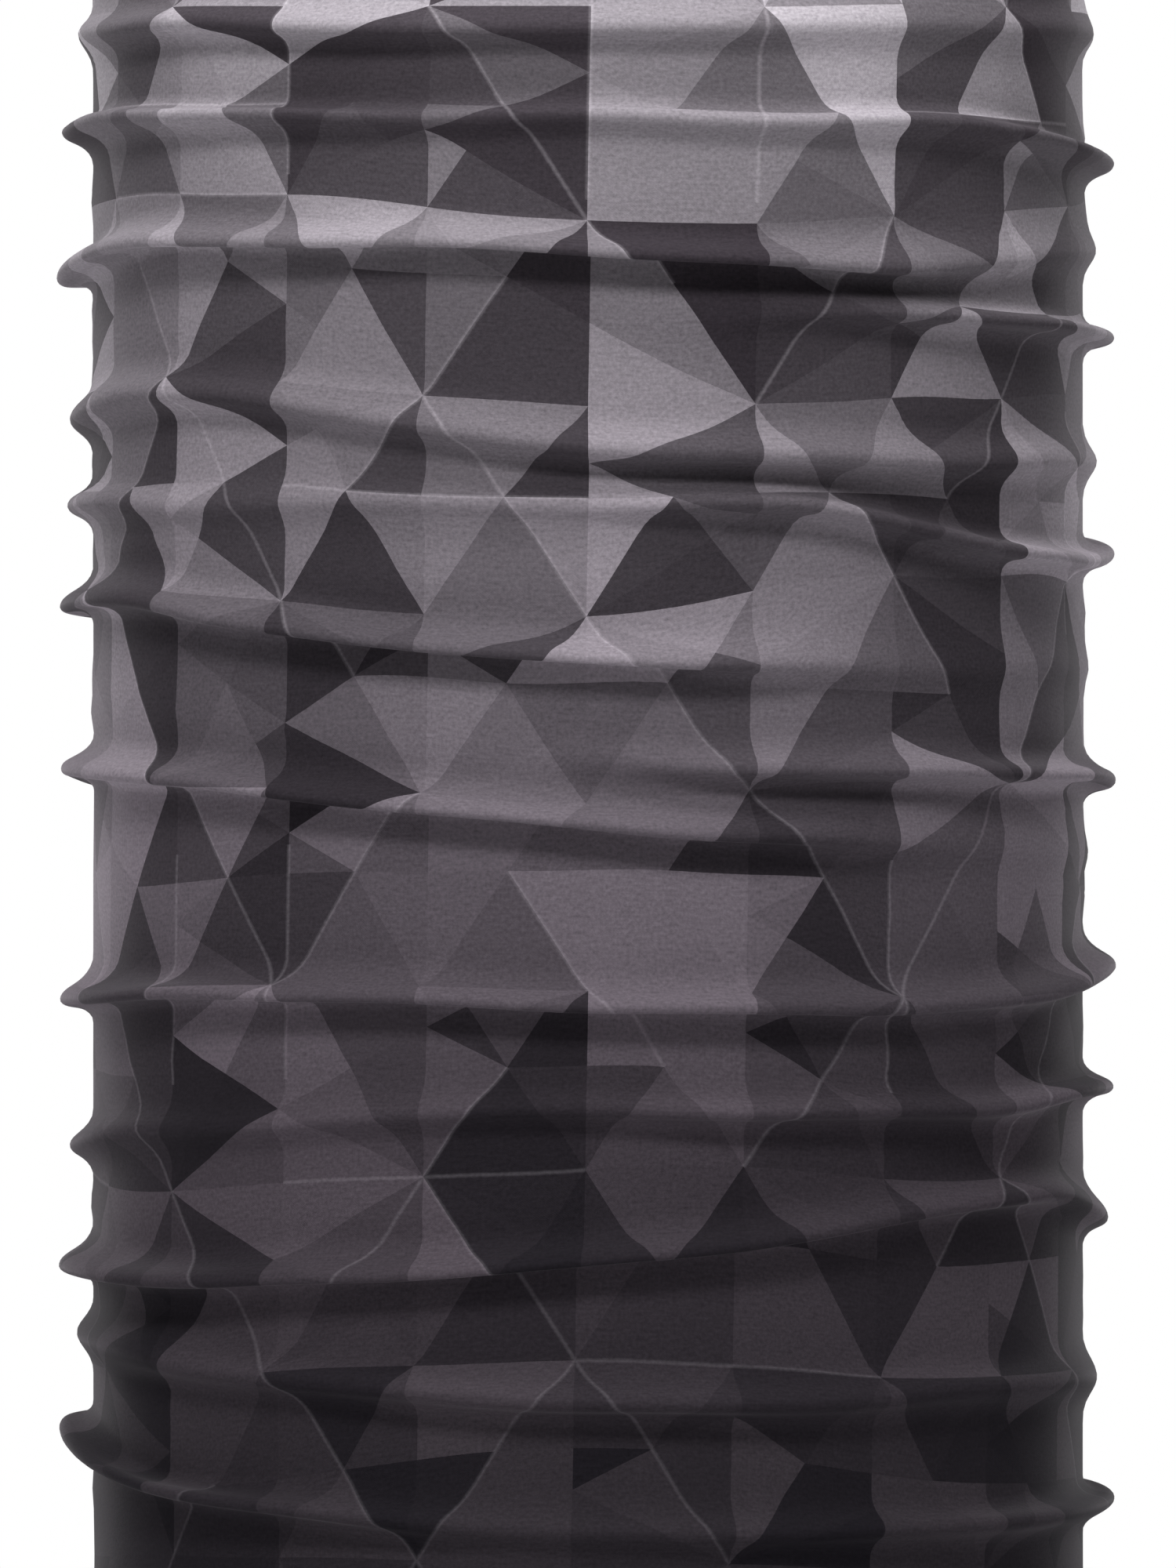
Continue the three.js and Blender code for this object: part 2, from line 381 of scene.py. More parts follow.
def crease_rise(angle, height):
    """How far the small creases lift the wall off the form."""
    rng = np.random.default_rng(CREASE_SEED)
    lowest = HEM_DEPTH + CREASE_MARGIN
    highest = HEIGHT - HEM_DEPTH - CREASE_MARGIN
    rise = np.zeros_like(height)
    for _ in range(CREASES):
        middle = rng.uniform(-math.pi, math.pi)
        foot = rng.uniform(lowest, highest)
        half_turn = math.radians(rng.uniform(*CREASE_HALF_TURN))
        half_height = rng.uniform(*CREASE_HALF_HEIGHT)
        slant = rng.normal() * CREASE_SLANT
        size = CREASE_RISE * rng.uniform(*CREASE_RISE_SHARE)
        turn = (angle - middle + math.pi) % math.tau - math.pi
        off = height - foot - slant * turn
        rise += size * np.exp(-((turn / half_turn) ** 2) - (off / half_height) ** 2)
    return rise


def sideways_run(folds, tilts, step):
    """How far the cloth is carried round the tube, as a fold that slants pushes it across its own slope."""
    total = np.zeros((PROFILE_STEPS + 1, COLUMNS))
    for fold, tilt in zip(folds, tilts):
        total += fold["slope"] * running_sum((1 - np.cos(between(tilt))) * step)
    return total


def resampled(tracks, reached):
    """Tracks down each column, read off at the even rows of the mesh."""
    wanted = np.arange(ROWS + 1) / ROWS
    rows = np.empty((ROWS + 1, COLUMNS, len(tracks)))
    for column in range(COLUMNS):
        for number, track in enumerate(tracks):
            rows[:, column, number] = np.interp(wanted, reached[:, column], track[:, column])
    return rows


def gathered_wall():
    """The cloth's outer face between the two edge turns, in rows of (radius, height, angle, along).

    Each column starts as a straight line up the form. Every fold tilts it out and back, and the wall
    is the sum of those tilts followed along the cloth, so no cloth is lost or gained in a fold.
    """
    angles = np.linspace(-180, 180, COLUMNS, endpoint=False)
    folds, used = placed_folds(angles)
    share = (np.arange(PROFILE_STEPS + 1) / PROFILE_STEPS)[:, None]
    length = HEIGHT - 2 * TURN_RADIUS + used
    along = TURN_RADIUS + share * length
    step = length / PROFILE_STEPS
    tilts = [fold_tilt(fold, along) for fold in folds]
    tilt = np.sum(tilts, axis=0)
    out = running_sum(np.sin(between(tilt)) * step)
    out = out - resting_error(folds, along, out)
    up = running_sum(np.cos(between(tilt)) * step)
    up = TURN_RADIUS + up * (HEIGHT - 2 * TURN_RADIUS) / up[-1]
    turned = np.radians(angles) + sideways_run(folds, tilts, step) / WALL_RADIUS + TWIST * (share - 0.5)
    mean_length = float(length.mean())
    cloth = TURN_RADIUS + share * np.full(COLUMNS, mean_length)
    rows = resampled((out, up, turned, cloth), row_places(tilt, step))
    rows[..., 0] += WALL_RADIUS + crease_rise(rows[..., 2], rows[..., 1])
    return rows, mean_length + 2 * TURN_RADIUS


# ---- meshes
def make_piece(name, points, faces, materials, uvs, face_slots=None):
    """A smooth mesh object. uvs holds each face corner's place, one row for each corner of each face."""
    mesh = bpy.data.meshes.new(name)
    mesh.from_pydata([tuple(p) for p in points], [], [tuple(f) for f in faces])
    layer = mesh.uv_layers.new(name="cloth")
    layer.uv.foreach_set("vector", np.asarray(uvs, np.float32).ravel())
    for material in materials:
        mesh.materials.append(material)
    if face_slots is not None:
        mesh.polygons.foreach_set("material_index", np.asarray(face_slots, np.int32))
    mesh.polygons.foreach_set("use_smooth", np.ones(len(mesh.polygons), bool))
    mesh.update()
    piece = bpy.data.objects.new(name, mesh)
    bpy.context.scene.collection.objects.link(piece)
    return piece


def edge_wave(angle, size, seed):
    """A smooth random wave round one edge."""
    rng = np.random.default_rng(seed)
    total = np.zeros_like(angle)
    for waves in EDGE_WAVES:
        total += rng.normal() * np.sin(waves * angle + rng.uniform(0, math.tau)) / len(EDGE_WAVES)
    return size * total


def turned_points(radius, height, angle):
    """Points from their radius, height and angle, moved with the gentle wave of the nearer edge."""
    near_bottom = np.exp(-((height / EDGE_FADE) ** 2))
    near_top = np.exp(-(((HEIGHT - height) / EDGE_FADE) ** 2))
    bottom_sway = edge_wave(angle, EDGE_SWAY, SWAY_SEEDS[0]) * near_bottom
    sway = bottom_sway + edge_wave(angle, EDGE_SWAY, SWAY_SEEDS[1]) * near_top
    bottom_lift = np.abs(edge_wave(angle, EDGE_LIFT, LIFT_SEEDS[0])) * near_bottom
    top_lift = edge_wave(angle, EDGE_LIFT, LIFT_SEEDS[1]) * near_top
    out = radius * (1 + sway / WALL_RADIUS)
    return np.stack([out * np.sin(angle), -out * np.cos(angle), height + bottom_lift + top_lift], axis=-1)


def face_normals(points, closed):
    """The unit normals of a grid of points, (rows, columns, 3), which point out where rows rise."""
    if closed:
        across = np.roll(points, -1, axis=1) - np.roll(points, 1, axis=1)
    else:
        across = np.gradient(points, axis=1)
    normals = np.cross(across, np.gradient(points, axis=0))
    return normals / np.linalg.norm(normals, axis=-1, keepdims=True)


def sheet_faces(index, wrap):
    """A closed sheet's front faces, then its back and rims. index numbers the front's grid of corners."""
    behind = index.size
    if wrap:
        left, right = index, np.roll(index, -1, axis=1)
    else:
        left, right = index[:, :-1], index[:, 1:]
    front = np.stack([left[:-1], right[:-1], right[1:], left[1:]], axis=-1).reshape(-1, 4)
    rims = [
        np.stack([left[0], left[0] + behind, right[0] + behind, right[0]], axis=-1),
        np.stack([left[-1], right[-1], right[-1] + behind, left[-1] + behind], axis=-1),
    ]
    if not wrap:
        low, high = index[:-1], index[1:]
        rims.append(np.stack([low[:, 0], high[:, 0], high[:, 0] + behind, low[:, 0] + behind], axis=-1))
        rims.append(np.stack([low[:, -1], low[:, -1] + behind, high[:, -1] + behind, high[:, -1]], axis=-1))
    return front, np.vstack([front[:, ::-1] + behind, *rims])


def cloth_piece(name, front_points, place, thickness, materials, wrap=0):
    """A closed sheet from the grid of its front face. Its back face lies one thickness behind that.

    place is each corner's place on the cloth, and wrap is the place across where a closed ring meets
    itself. materials are the front's, and the back's and edges' where those differ.
    """
    count, columns = front_points.shape[:2]
    back_points = front_points - thickness * face_normals(front_points, wrap > 0)
    front, others = sheet_faces(np.arange(count * columns).reshape(count, columns), wrap)
    faces = np.vstack([front, others])
    flat_place = place.reshape(-1, 2)
    uvs = np.vstack([flat_place, flat_place])[faces.ravel()].reshape(-1, 4, 2)
    if wrap:
        wraps = uvs[..., 0].max(1) - uvs[..., 0].min(1) > wrap / 2
        uvs[..., 0] += wrap * (wraps[:, None] & (uvs[..., 0] < wrap / 2))
    slots = np.zeros(len(faces), int)
    slots[len(front):] = len(materials) - 1
    points = np.vstack([front_points.reshape(-1, 3), back_points.reshape(-1, 3)])
    return make_piece(name, points, faces, materials, uvs, slots)


def ring_piece(name, rows, materials):
    """A ring of the tube's cloth from rows of (radius, height, angle, along)."""
    count, columns = rows.shape[:2]
    points = turned_points(rows[..., 0], rows[..., 1], rows[..., 2])
    across = np.tile(np.arange(columns) * PRINT_COLUMNS / columns, (count, 1))
    place = np.stack([across, rows[..., 3] / COLUMN_WIDTH], axis=-1)
    return cloth_piece(name, points, place, CLOTH, materials, wrap=PRINT_COLUMNS)


def thread_faces(index, closed):
    """The faces round threads whose corners index numbers, with an end cap at both ends of open ones."""
    after = np.roll(index, -1, axis=1) if closed else index[:, 1:]
    before = index if closed else index[:, :-1]
    walls = [before, np.roll(before, -1, axis=2), np.roll(after, -1, axis=2), after]
    faces = np.stack(walls, axis=-1).reshape(-1, 4).tolist()
    if not closed:
        faces += index[:, 0, ::-1].tolist() + index[:, -1].tolist()
    return faces


def thread_map(faces, reach):
    """Each face corner's place: its thread's reach at that ring, and its share of a turn round it."""
    steps = reach.shape[1]
    places = []
    for face in faces:
        turns = [corner % THREAD_SIDES / THREAD_SIDES for corner in face]
        crosses = max(turns) - min(turns) > 0.5 and len(face) == 4
        for corner, share in zip(face, turns):
            along = reach[corner // (steps * THREAD_SIDES), corner // THREAD_SIDES % steps]
            places.append((along, share + (crosses and share < 0.5)))
    return places


def thread_piece(name, paths, diameter, material, closed=False):
    """Threads along paths, (threads, points, 3). Their map is (length in diameters, turn round)."""
    threads, steps = paths.shape[:2]
    if closed:
        along = (np.roll(paths, -1, axis=1) - np.roll(paths, 1, axis=1)) / 2
    else:
        along = np.gradient(paths, axis=1)
    along /= np.linalg.norm(along, axis=-1, keepdims=True)
    outward = paths * (1, 1, 0)
    side = np.cross(along, outward)
    side /= np.linalg.norm(side, axis=-1, keepdims=True)
    upward = np.cross(side, along)
    turn = np.arange(THREAD_SIDES) * math.tau / THREAD_SIDES
    ring = np.cos(turn)[:, None] * upward[:, :, None] + np.sin(turn)[:, None] * side[:, :, None]
    points = paths[:, :, None] + diameter / 2 * ring
    index = np.arange(threads * steps * THREAD_SIDES).reshape(threads, steps, THREAD_SIDES)
    faces = thread_faces(index, closed)
    reach = np.linalg.norm(np.diff(paths, axis=1), axis=-1).cumsum(axis=1) / diameter
    reach = np.hstack([np.zeros((threads, 1)), reach])
    return make_piece(name, points.reshape(-1, 3), faces, [material], thread_map(faces, reach))


# ---- materials
class Maths:
    """Shader maths as plain calls. Each gives back a socket, and takes sockets or numbers."""

    def __init__(self, tree):
        self.tree = tree

    def put(self, socket, value):
        if isinstance(value, bpy.types.NodeSocket):
            self.tree.links.new(value, socket)
        else:
            socket.default_value = value

    def fill(self, node, inputs):
        """Puts a value into each of a node's inputs, given by name or number."""
        for key, value in inputs.items():
            self.put(node.inputs[key], value)

    def node(self, kind, inputs=(), **settings):
        made = self.tree.nodes.new(kind)
        for key, value in settings.items():
            setattr(made, key, value)
        self.fill(made, dict(inputs))
        return made

    def op(self, operation, *values):
        return self.node("ShaderNodeMath", enumerate(values), operation=operation).outputs[0]

    def add(self, a, b):
        return self.op("ADD", a, b)

    def times(self, a, b):
        return self.op("MULTIPLY", a, b)

    def minus(self, a, b):
        return self.op("SUBTRACT", a, b)

    def ramp(self, value, stops):
        """A ramp through (place, colour) stops."""
        made = self.node("ShaderNodeValToRGB", {0: value})
        elements = made.color_ramp.elements
        while len(elements) < len(stops):
            elements.new(0.5)
        for element, (place, colour) in zip(elements, stops):
            element.position = place
            element.color = (*colour, 1)
        return made.outputs[0]

    def mix(self, share, a, b):
        """Colour a where share is 0 and b where it is 1."""
        made = self.node("ShaderNodeMix", {"Factor": share}, data_type="RGBA")
        coloured = [s for s in made.inputs if s.type == "RGBA"]
        for socket, colour in zip(coloured, (a, b)):
            self.put(socket, colour)
        return next(s for s in made.outputs if s.type == "RGBA")

    def smooth(self, value, low, high):
        """0 below low, 1 above high, and smooth between them."""
        inputs = {"Value": value, "From Min": low, "From Max": high}
        return self.node("ShaderNodeMapRange", inputs, interpolation_type="SMOOTHSTEP").outputs[0]

    def random(self, numbers, seed):
        """A random number from 0 to 1 for each set of up to three whole numbers."""
        place = self.node("ShaderNodeCombineXYZ", enumerate(numbers))
        inputs = {"Vector": place.outputs[0], "W": seed}
        return self.node("ShaderNodeTexWhiteNoise", inputs, noise_dimensions="4D").outputs["Value"]

    def place(self):
        """The two coordinates of the cloth's own map."""
        uv = self.node("ShaderNodeUVMap", uv_map="cloth")
        split = self.node("ShaderNodeSeparateXYZ", {"Vector": uv.outputs[0]})
        return split.outputs[0], split.outputs[1]


def new_material(name):
    """A material, the maths of its nodes, and its shader."""
    material = bpy.data.materials.new(name)
    material.use_nodes = True
    tree = material.node_tree
    return material, Maths(tree), tree.nodes["Principled BSDF"]


def line_reach(m, x, y, degrees, spacing):
    """A place's distance across a family of parallel lines, in spacings. degrees is the way across them."""
    turn = math.radians(degrees)
    return m.add(m.times(x, math.cos(turn) / spacing), m.times(y, math.sin(turn) / spacing))


def cell_numbers(m, x, y, families):
    """Which cell a place is in, between the lines of each family."""
    return [m.op("FLOOR", line_reach(m, x, y, *family)) for family in families]


# The facets are cut by families of lines, each given by the way across them in degrees and their
# spacing in columns. They all pass through one triangular lattice, so that facets of different
# sizes meet at the same star-shaped corners.
ROW = math.sqrt(3)
BIG_TRIANGLES = ((90, ROW), (30, ROW), (150, ROW))
COLUMN_TRIANGLES = ((0, 1), (60, 1), (120, 1))
RHOMBI = ((30, ROW), (150, ROW))
OBLONGS = ((0, 1), (90, ROW))
SLIVERS = ((0, 1), (30, ROW), (150, ROW))
SMALL_TRIANGLES = ((90, ROW / 2), (30, ROW / 2), (150, ROW / 2))
# Layers printed over each other: families, share of their cells that are printed, and how solidly
FACET_LAYERS = (
    (RHOMBI, 0.42, 0.70),
    (OBLONGS, 0.32, 0.55),
    (COLUMN_TRIANGLES, 0.56, 0.85),
    (SLIVERS, 0.46, 0.85),
    (SMALL_TRIANGLES, 0.36, 0.75),
)
PRINT_SQUASH = 0.88  # height of the facets against an even-sided lattice, as the knit is stretched round
SHADE_POWER = 1.6  # makes pale facets rarer than dark ones
LINE_HALF = 0.0075  # half the width of a printed thin line, in columns
LINE_SOFT = 0.015  # how softly its edges fade, in columns
# The thin lines: the way across them in degrees, their spacing, and the odds of each length being printed
LINE_FAMILIES = ((30, ROW, 0.40), (150, ROW, 0.40), (90, ROW / 2, 0.10), (0, 1, 0.06))
LINE_RUN = 2  # length of a printed line, in columns
# Seeds of the print's random numbers
FACET_SEED = 11.3
LAYER_SHADE_SEED = 17.9
LAYER_PRINTED_SEED = 61.7
LAYER_SEED_STEP = 5.1
LINE_SEED = 31.7


def facet_shade(m, x, y):
    """Each facet's shade, from 0 for the darkest to 1 for the palest."""
    shade = m.random(cell_numbers(m, x, y, BIG_TRIANGLES), FACET_SEED)
    for number, (families, odds, solidity) in enumerate(FACET_LAYERS):
        cell = cell_numbers(m, x, y, families)
        own = m.random(cell, LAYER_SHADE_SEED + LAYER_SEED_STEP * number)
        chance = m.random(cell, LAYER_PRINTED_SEED + LAYER_SEED_STEP * number)
        printed = m.times(m.op("LESS_THAN", chance, odds), solidity)
        shade = m.add(shade, m.times(printed, m.minus(own, shade)))
    return m.op("POWER", shade, SHADE_POWER)


def thin_lines(m, x, y):
    """The fine pale lines that run through some corners of the lattice, in broken lengths."""
    total = None
    for number, (degrees, spacing, odds) in enumerate(LINE_FAMILIES):
        reach = line_reach(m, x, y, degrees, spacing)
        nearest = m.op("ROUND", reach)
        gap = m.times(m.op("ABSOLUTE", m.minus(reach, nearest)), spacing)
        run = m.op("FLOOR", line_reach(m, x, y, degrees + 90, LINE_RUN))
        shown = m.op("LESS_THAN", m.random((nearest, run), LINE_SEED + number), odds)
        soft_edge = m.smooth(gap, LINE_HALF - LINE_SOFT / 2, LINE_HALF + LINE_SOFT)
        line = m.times(m.minus(1.0, soft_edge), shown)
        total = line if total is None else m.op("MAXIMUM", total, line)
    return total


WALE = 0.42  # mm, width of one column of the knit's loops
COURSE = 0.34  # mm, height of one row of them
STREAK_STRETCH = (0.5, 2.4, 1.0)  # makes the yarn's streaks longer round the tube than up it
GRAIN_RELIEF = 0.8  # relief of the fine grain, against that of the streaks
LOOP_RELIEF = 0.2
STREAK_SHARE = 0.3  # of the streaks in the knit's light and dark, the rest being the grain's
DENT_HALF_WIDTH = 0.7 * MM
DENT_RELIEF = 3.0  # depth of the dents that stitches press, against the streaks' relief


def knit_texture(m, x, y):
    """The knit's fine grain: (relief, shade), from the cloth's coordinates in columns of the print."""
    size = COLUMN_WIDTH / MM
    place = m.node("ShaderNodeCombineXYZ", {0: m.times(x, size), 1: m.times(y, size)})
    stretch = m.node("ShaderNodeVectorMath", {0: place.outputs[0], 1: STREAK_STRETCH}, operation="MULTIPLY")
    streaks = m.node("ShaderNodeTexNoise", {"Vector": stretch.outputs[0], "Scale": 0.9, "Detail": 3.0})
    fine = {"Vector": place.outputs[0], "Scale": 1.7, "Detail": 3.0, "Roughness": 0.65}
    grain = m.node("ShaderNodeTexNoise", fine)
    wale = m.op("SINE", m.times(x, math.tau * size / WALE))
    course = m.op("SINE", m.times(y, math.tau * size / COURSE))
    loops = m.times(m.times(wale, course), LOOP_RELIEF)
    relief = m.add(m.add(streaks.outputs[0], m.times(grain.outputs[0], GRAIN_RELIEF)), loops)
    shade = m.add(m.times(streaks.outputs[0], STREAK_SHARE), m.times(grain.outputs[0], 1 - STREAK_SHARE))
    return relief, shade


def sewn_dents(m, along, cloth_length):
    """1 in the narrow dents that the rows of stitches press into the cloth, and 0 elsewhere."""
    whole = cloth_length / COLUMN_WIDTH
    from_edge = m.op("MINIMUM", along, m.minus(whole, along))
    total = 0.0
    for depth in NEEDLE_DEPTHS:
        gap = m.op("ABSOLUTE", m.minus(from_edge, depth / COLUMN_WIDTH))
        total = m.add(total, m.minus(1.0, m.smooth(gap, 0.0, DENT_HALF_WIDTH / COLUMN_WIDTH)))
    return total


# The print's darkest and palest tones by height along the cloth, as shares of its length
DARK_TONES = (
    (0.0, (0.0074, 0.0067, 0.0088)),
    (0.20, (0.0081, 0.0072, 0.0095)),
    (0.38, (0.0143, 0.0123, 0.0153)),
    (0.6, (0.0230, 0.0194, 0.0238)),
    (1.0, (0.0470, 0.0388, 0.0470)),
)
PALE_TONES = (
    (0.0, (0.0205, 0.0180, 0.0216)),
    (0.15, (0.0380, 0.0320, 0.0378)),
    (0.33, (0.0810, 0.0670, 0.0803)),
    (0.48, (0.196, 0.168, 0.196)),
    (0.66, (0.338, 0.305, 0.341)),
    (1.0, (0.490, 0.457, 0.496)),
)
LINE_TONES = (
    (0.0, (0.014, 0.0129, 0.0144)),
    (0.5, (0.046, 0.0425, 0.0465)),
    (1.0, (0.098, 0.0915, 0.0985)),
)
# The inner face, where the print shows through at the bottom and not at the top
GHOST_TONES = ((0.30, 0.29, 0.305, 1), (0.42, 0.41, 0.42, 1))
INNER_TOP_TONE = (0.50, 0.49, 0.50, 1)
# How much each texture's light and dark changes a colour, and the brightness that it starts from
PRINT_SPECK = (1.5, 0.25)
INNER_SPECK = (0.5, 0.75)
LABEL_SPECK = (0.2, 0.9)


def specked(m, colour, texture, amount, least):
    """A colour that a texture makes lighter and darker."""
    value = m.add(m.times(texture, amount), least)
    return m.node("ShaderNodeHueSaturation", {"Color": colour, "Value": value}).outputs[0]


def set_knit_surface(m, shader, relief):
    """The matt, faintly brushed surface that both faces of the knit have."""
    bump = m.node("ShaderNodeBump", {"Height": relief, "Strength": 0.30, "Distance": 0.10 * MM})
    surface = {
        "Normal": bump.outputs[0],
        "Roughness": 0.88,
        "Specular IOR Level": 0.03,
        "Sheen Weight": 0.07,
        "Sheen Roughness": 0.35,
        "Sheen Tint": (1.0, 0.93, 1.0, 1),
    }
    m.fill(shader, surface)


def printed_knit(cloth_length):
    """The printed outer face: facets that fade from pale at the top to almost black at the bottom."""
    material, m, shader = new_material("printed_knit")
    x, along = m.place()
    y = m.times(along, 1 / PRINT_SQUASH)
    height = m.times(along, COLUMN_WIDTH / cloth_length)
    tone = m.mix(facet_shade(m, x, y), m.ramp(height, DARK_TONES), m.ramp(height, PALE_TONES))
    line = m.mix(thin_lines(m, x, y), (0, 0, 0, 1), m.ramp(height, LINE_TONES))
    lined = m.node("ShaderNodeVectorMath", {0: tone, 1: line}, operation="ADD")
    relief, grain = knit_texture(m, x, along)
    m.put(shader.inputs["Base Color"], specked(m, lined.outputs[0], grain, *PRINT_SPECK))
    dents = sewn_dents(m, along, cloth_length)
    set_knit_surface(m, shader, m.minus(relief, m.times(dents, DENT_RELIEF)))
    return material


def inner_knit(cloth_length):
    """The unprinted inner face: pale grey, with a ghost of the print's tones showing through."""
    material, m, shader = new_material("inner_knit")
    x, along = m.place()
    height = m.times(along, COLUMN_WIDTH / cloth_length)
    relief, grain = knit_texture(m, x, along)
    facets = facet_shade(m, x, m.times(along, 1 / PRINT_SQUASH))
    tone = m.mix(height, m.mix(facets, *GHOST_TONES), INNER_TOP_TONE)
    m.put(shader.inputs["Base Color"], specked(m, tone, grain, *INNER_SPECK))
    set_knit_surface(m, shader, relief)
    return material


STRANDS = 2
THREAD_LAY = 0.45  # turns of the strands round each other in a length of one diameter
STRAND_GROOVE_SHADE = 0.025  # painted shade: how much darker the groove between the strands is painted than a strand's crown
FIBRE_LEVEL = 0.05  # brightness that the fibres' own light and dark adds
THREAD_TINT = (0.95, 1.02)  # green and blue against red

SELVEDGE = (1.3, 0.9)  # mm from the label's side edges, where the weave starts to close up and has done
SATIN_TONE = (0.78, 0.77, 0.74, 1)
SELVEDGE_TONE = (0.66, 0.65, 0.62, 1)


def sewing_thread():
    """Dark polyester thread of twisted strands, with painted shade in the grooves between them. Its map is
    thread_piece's.
    """
    material, m, shader = new_material("hem_thread")
    reach, turn = m.place()
    twist = m.op("SINE", m.times(m.add(m.times(reach, THREAD_LAY), turn), STRANDS * math.tau))
    fibres = m.node("ShaderNodeTexNoise", {"Scale": 9000.0, "Detail": 1.0})
    strand = m.add(m.times(twist, 0.5), 0.5)
    # the thread's tone: painted shade that darkens the grooves between the strands, plus the fibres' random
    # light and dark
    level = m.add(m.times(strand, STRAND_GROOVE_SHADE), m.times(fibres.outputs[0], FIBRE_LEVEL))
    green, blue = (m.times(level, share) for share in THREAD_TINT)
    tint = m.node("ShaderNodeCombineColor", {"Red": level, "Green": green, "Blue": blue})
    bump = m.node("ShaderNodeBump", {"Height": strand, "Strength": 0.8, "Distance": 0.06 * MM})
    surface = {
        "Base Color": tint.outputs[0],
        "Normal": bump.outputs[0],
        "Roughness": 0.55,
        "Sheen Weight": 0.1,
    }
    m.fill(shader, surface)
    return material


def label_satin():
    """Blank woven satin, with fine ribs across it and denser selvedges. Its map is in millimetres."""
    material, m, shader = new_material("label_satin")
    across, along = m.place()
    ribs = m.op("SINE", m.times(along, math.tau / LABEL_RIB))
    floats = m.node("ShaderNodeTexNoise", {"Scale": 2500.0, "Detail": 2.0})
    half_width = LABEL_WIDTH / MM / 2
    inner, outer = SELVEDGE
    selvedge = m.smooth(m.op("ABSOLUTE", across), half_width - inner, half_width - outer)
    tone = m.mix(selvedge, SATIN_TONE, SELVEDGE_TONE)
    height = m.add(m.times(ribs, 0.5), m.times(floats.outputs[0], 0.5))
    bump = m.node("ShaderNodeBump", {"Height": height, "Strength": 0.5, "Distance": 0.05 * MM})
    surface = {
        "Base Color": specked(m, tone, floats.outputs[0], *LABEL_SPECK),
        "Normal": bump.outputs[0],
        "Roughness": 0.38,
        "Anisotropic": 0.4,
        "Sheen Weight": 0.15,
    }
    m.fill(shader, surface)
    return material


# ---- the pieces
def edge_height(end, depth):
    """The height of a place that is that deep in from one edge."""
    return HEIGHT - depth if end == "top" else depth


def edge_turn(rows, end):
    """The rows that fold the cloth inwards at one edge, from the wall's last row on."""
    at_top = end == "top"
    last = rows[-1] if at_top else rows[0]
    sign = 1 if at_top else -1
    edge = edge_height(end, TURN_RADIUS)
    made = []
    for step in range(1, TURN_ROWS + 1):
        turn = math.pi * step / TURN_ROWS
        row = last.copy()
        row[:, 0] = last[:, 0] - TURN_RADIUS * (1 - math.cos(turn))
        row[:, 1] = edge + sign * TURN_RADIUS * math.sin(turn)
        row[:, 3] = last[:, 3] + sign * TURN_RADIUS * turn
        made.append(row)
    tail = made[-1].copy()
    tail[:, 1] -= sign * TURN_TAIL
    tail[:, 3] += sign * TURN_TAIL
    made.append(tail)
    return np.array(made if at_top else made[::-1])


def add_tube(wall, materials):
    """The knitted tube itself, with both its edges turned in."""
    rows = np.concatenate([edge_turn(wall, "bottom"), wall, edge_turn(wall, "top")])
    tube = ring_piece("gathered_tube", rows, materials)
    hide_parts("tube_body")
    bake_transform(tube)


def stand_for(piece, node, body):
    """Hides the CAD node that a piece takes the place of, and ties the piece to the body that it moves
    with.
    """
    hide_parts(node)
    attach(piece, body)


def add_hem(end, wall, materials, body):
    """The cloth turned in at one end. Its printed face looks in, so its rows run down."""
    at_top = end == "top"
    tail = edge_turn(wall, end)[-1 if at_top else 0]
    sign = -1 if at_top else 1
    cut = edge_height(end, HEM_DEPTH)
    ragged = ring_noise(np.random.default_rng(HEM_SEED + at_top), COLUMNS, *HEM_RAGGED)
    rows = []
    for step in range(HEM_ROWS + 1):
        share = step / HEM_ROWS
        row = tail.copy()
        row[:, 0] = HEM_FACE
        row[:, 1] = tail[:, 1] + share * (cut - sign * np.abs(ragged) - tail[:, 1])
        row[:, 3] = tail[:, 3] - (row[:, 1] - tail[:, 1])
        rows.append(row)
    hem = ring_piece(f"{end}_turned_hem", np.array(rows if at_top else rows[::-1]), materials)
    stand_for(hem, f"{end}_hem", body)
    return hem


def stitch_arch(share):
    """How far the middle of the thread stands off the cloth, at a share of the way along its stitch."""
    return NEEDLE_ARCH * 2 * np.sin(math.pi * share) ** 0.5 - NEEDLE_DIAMETER


def add_needle_rows(end, thread, body):
    """The two rows of stitches on the outside of a hem, each stitch a short arch of thread."""
    share = np.linspace(0, 1, STITCH_STEPS)
    pitch = math.tau / STITCHES
    stray = STITCH_STRAY * np.sin(STITCH_STRAY_TURN * np.arange(STITCHES))[:, None]
    for row, depth in zip(("edge", "inner"), NEEDLE_DEPTHS):
        angle = pitch * (np.arange(STITCHES)[:, None] + STITCH_SHARE * share)
        radius = WALL_RADIUS + stitch_arch(share)
        height = edge_height(end, depth) + stray
        paths = turned_points(radius, height, angle)
        stitches = thread_piece(f"{end}_needle_stitches_{row}", paths, NEEDLE_DIAMETER, thread)
        stand_for(stitches, f"{end}_needle_thread_{row}", body)


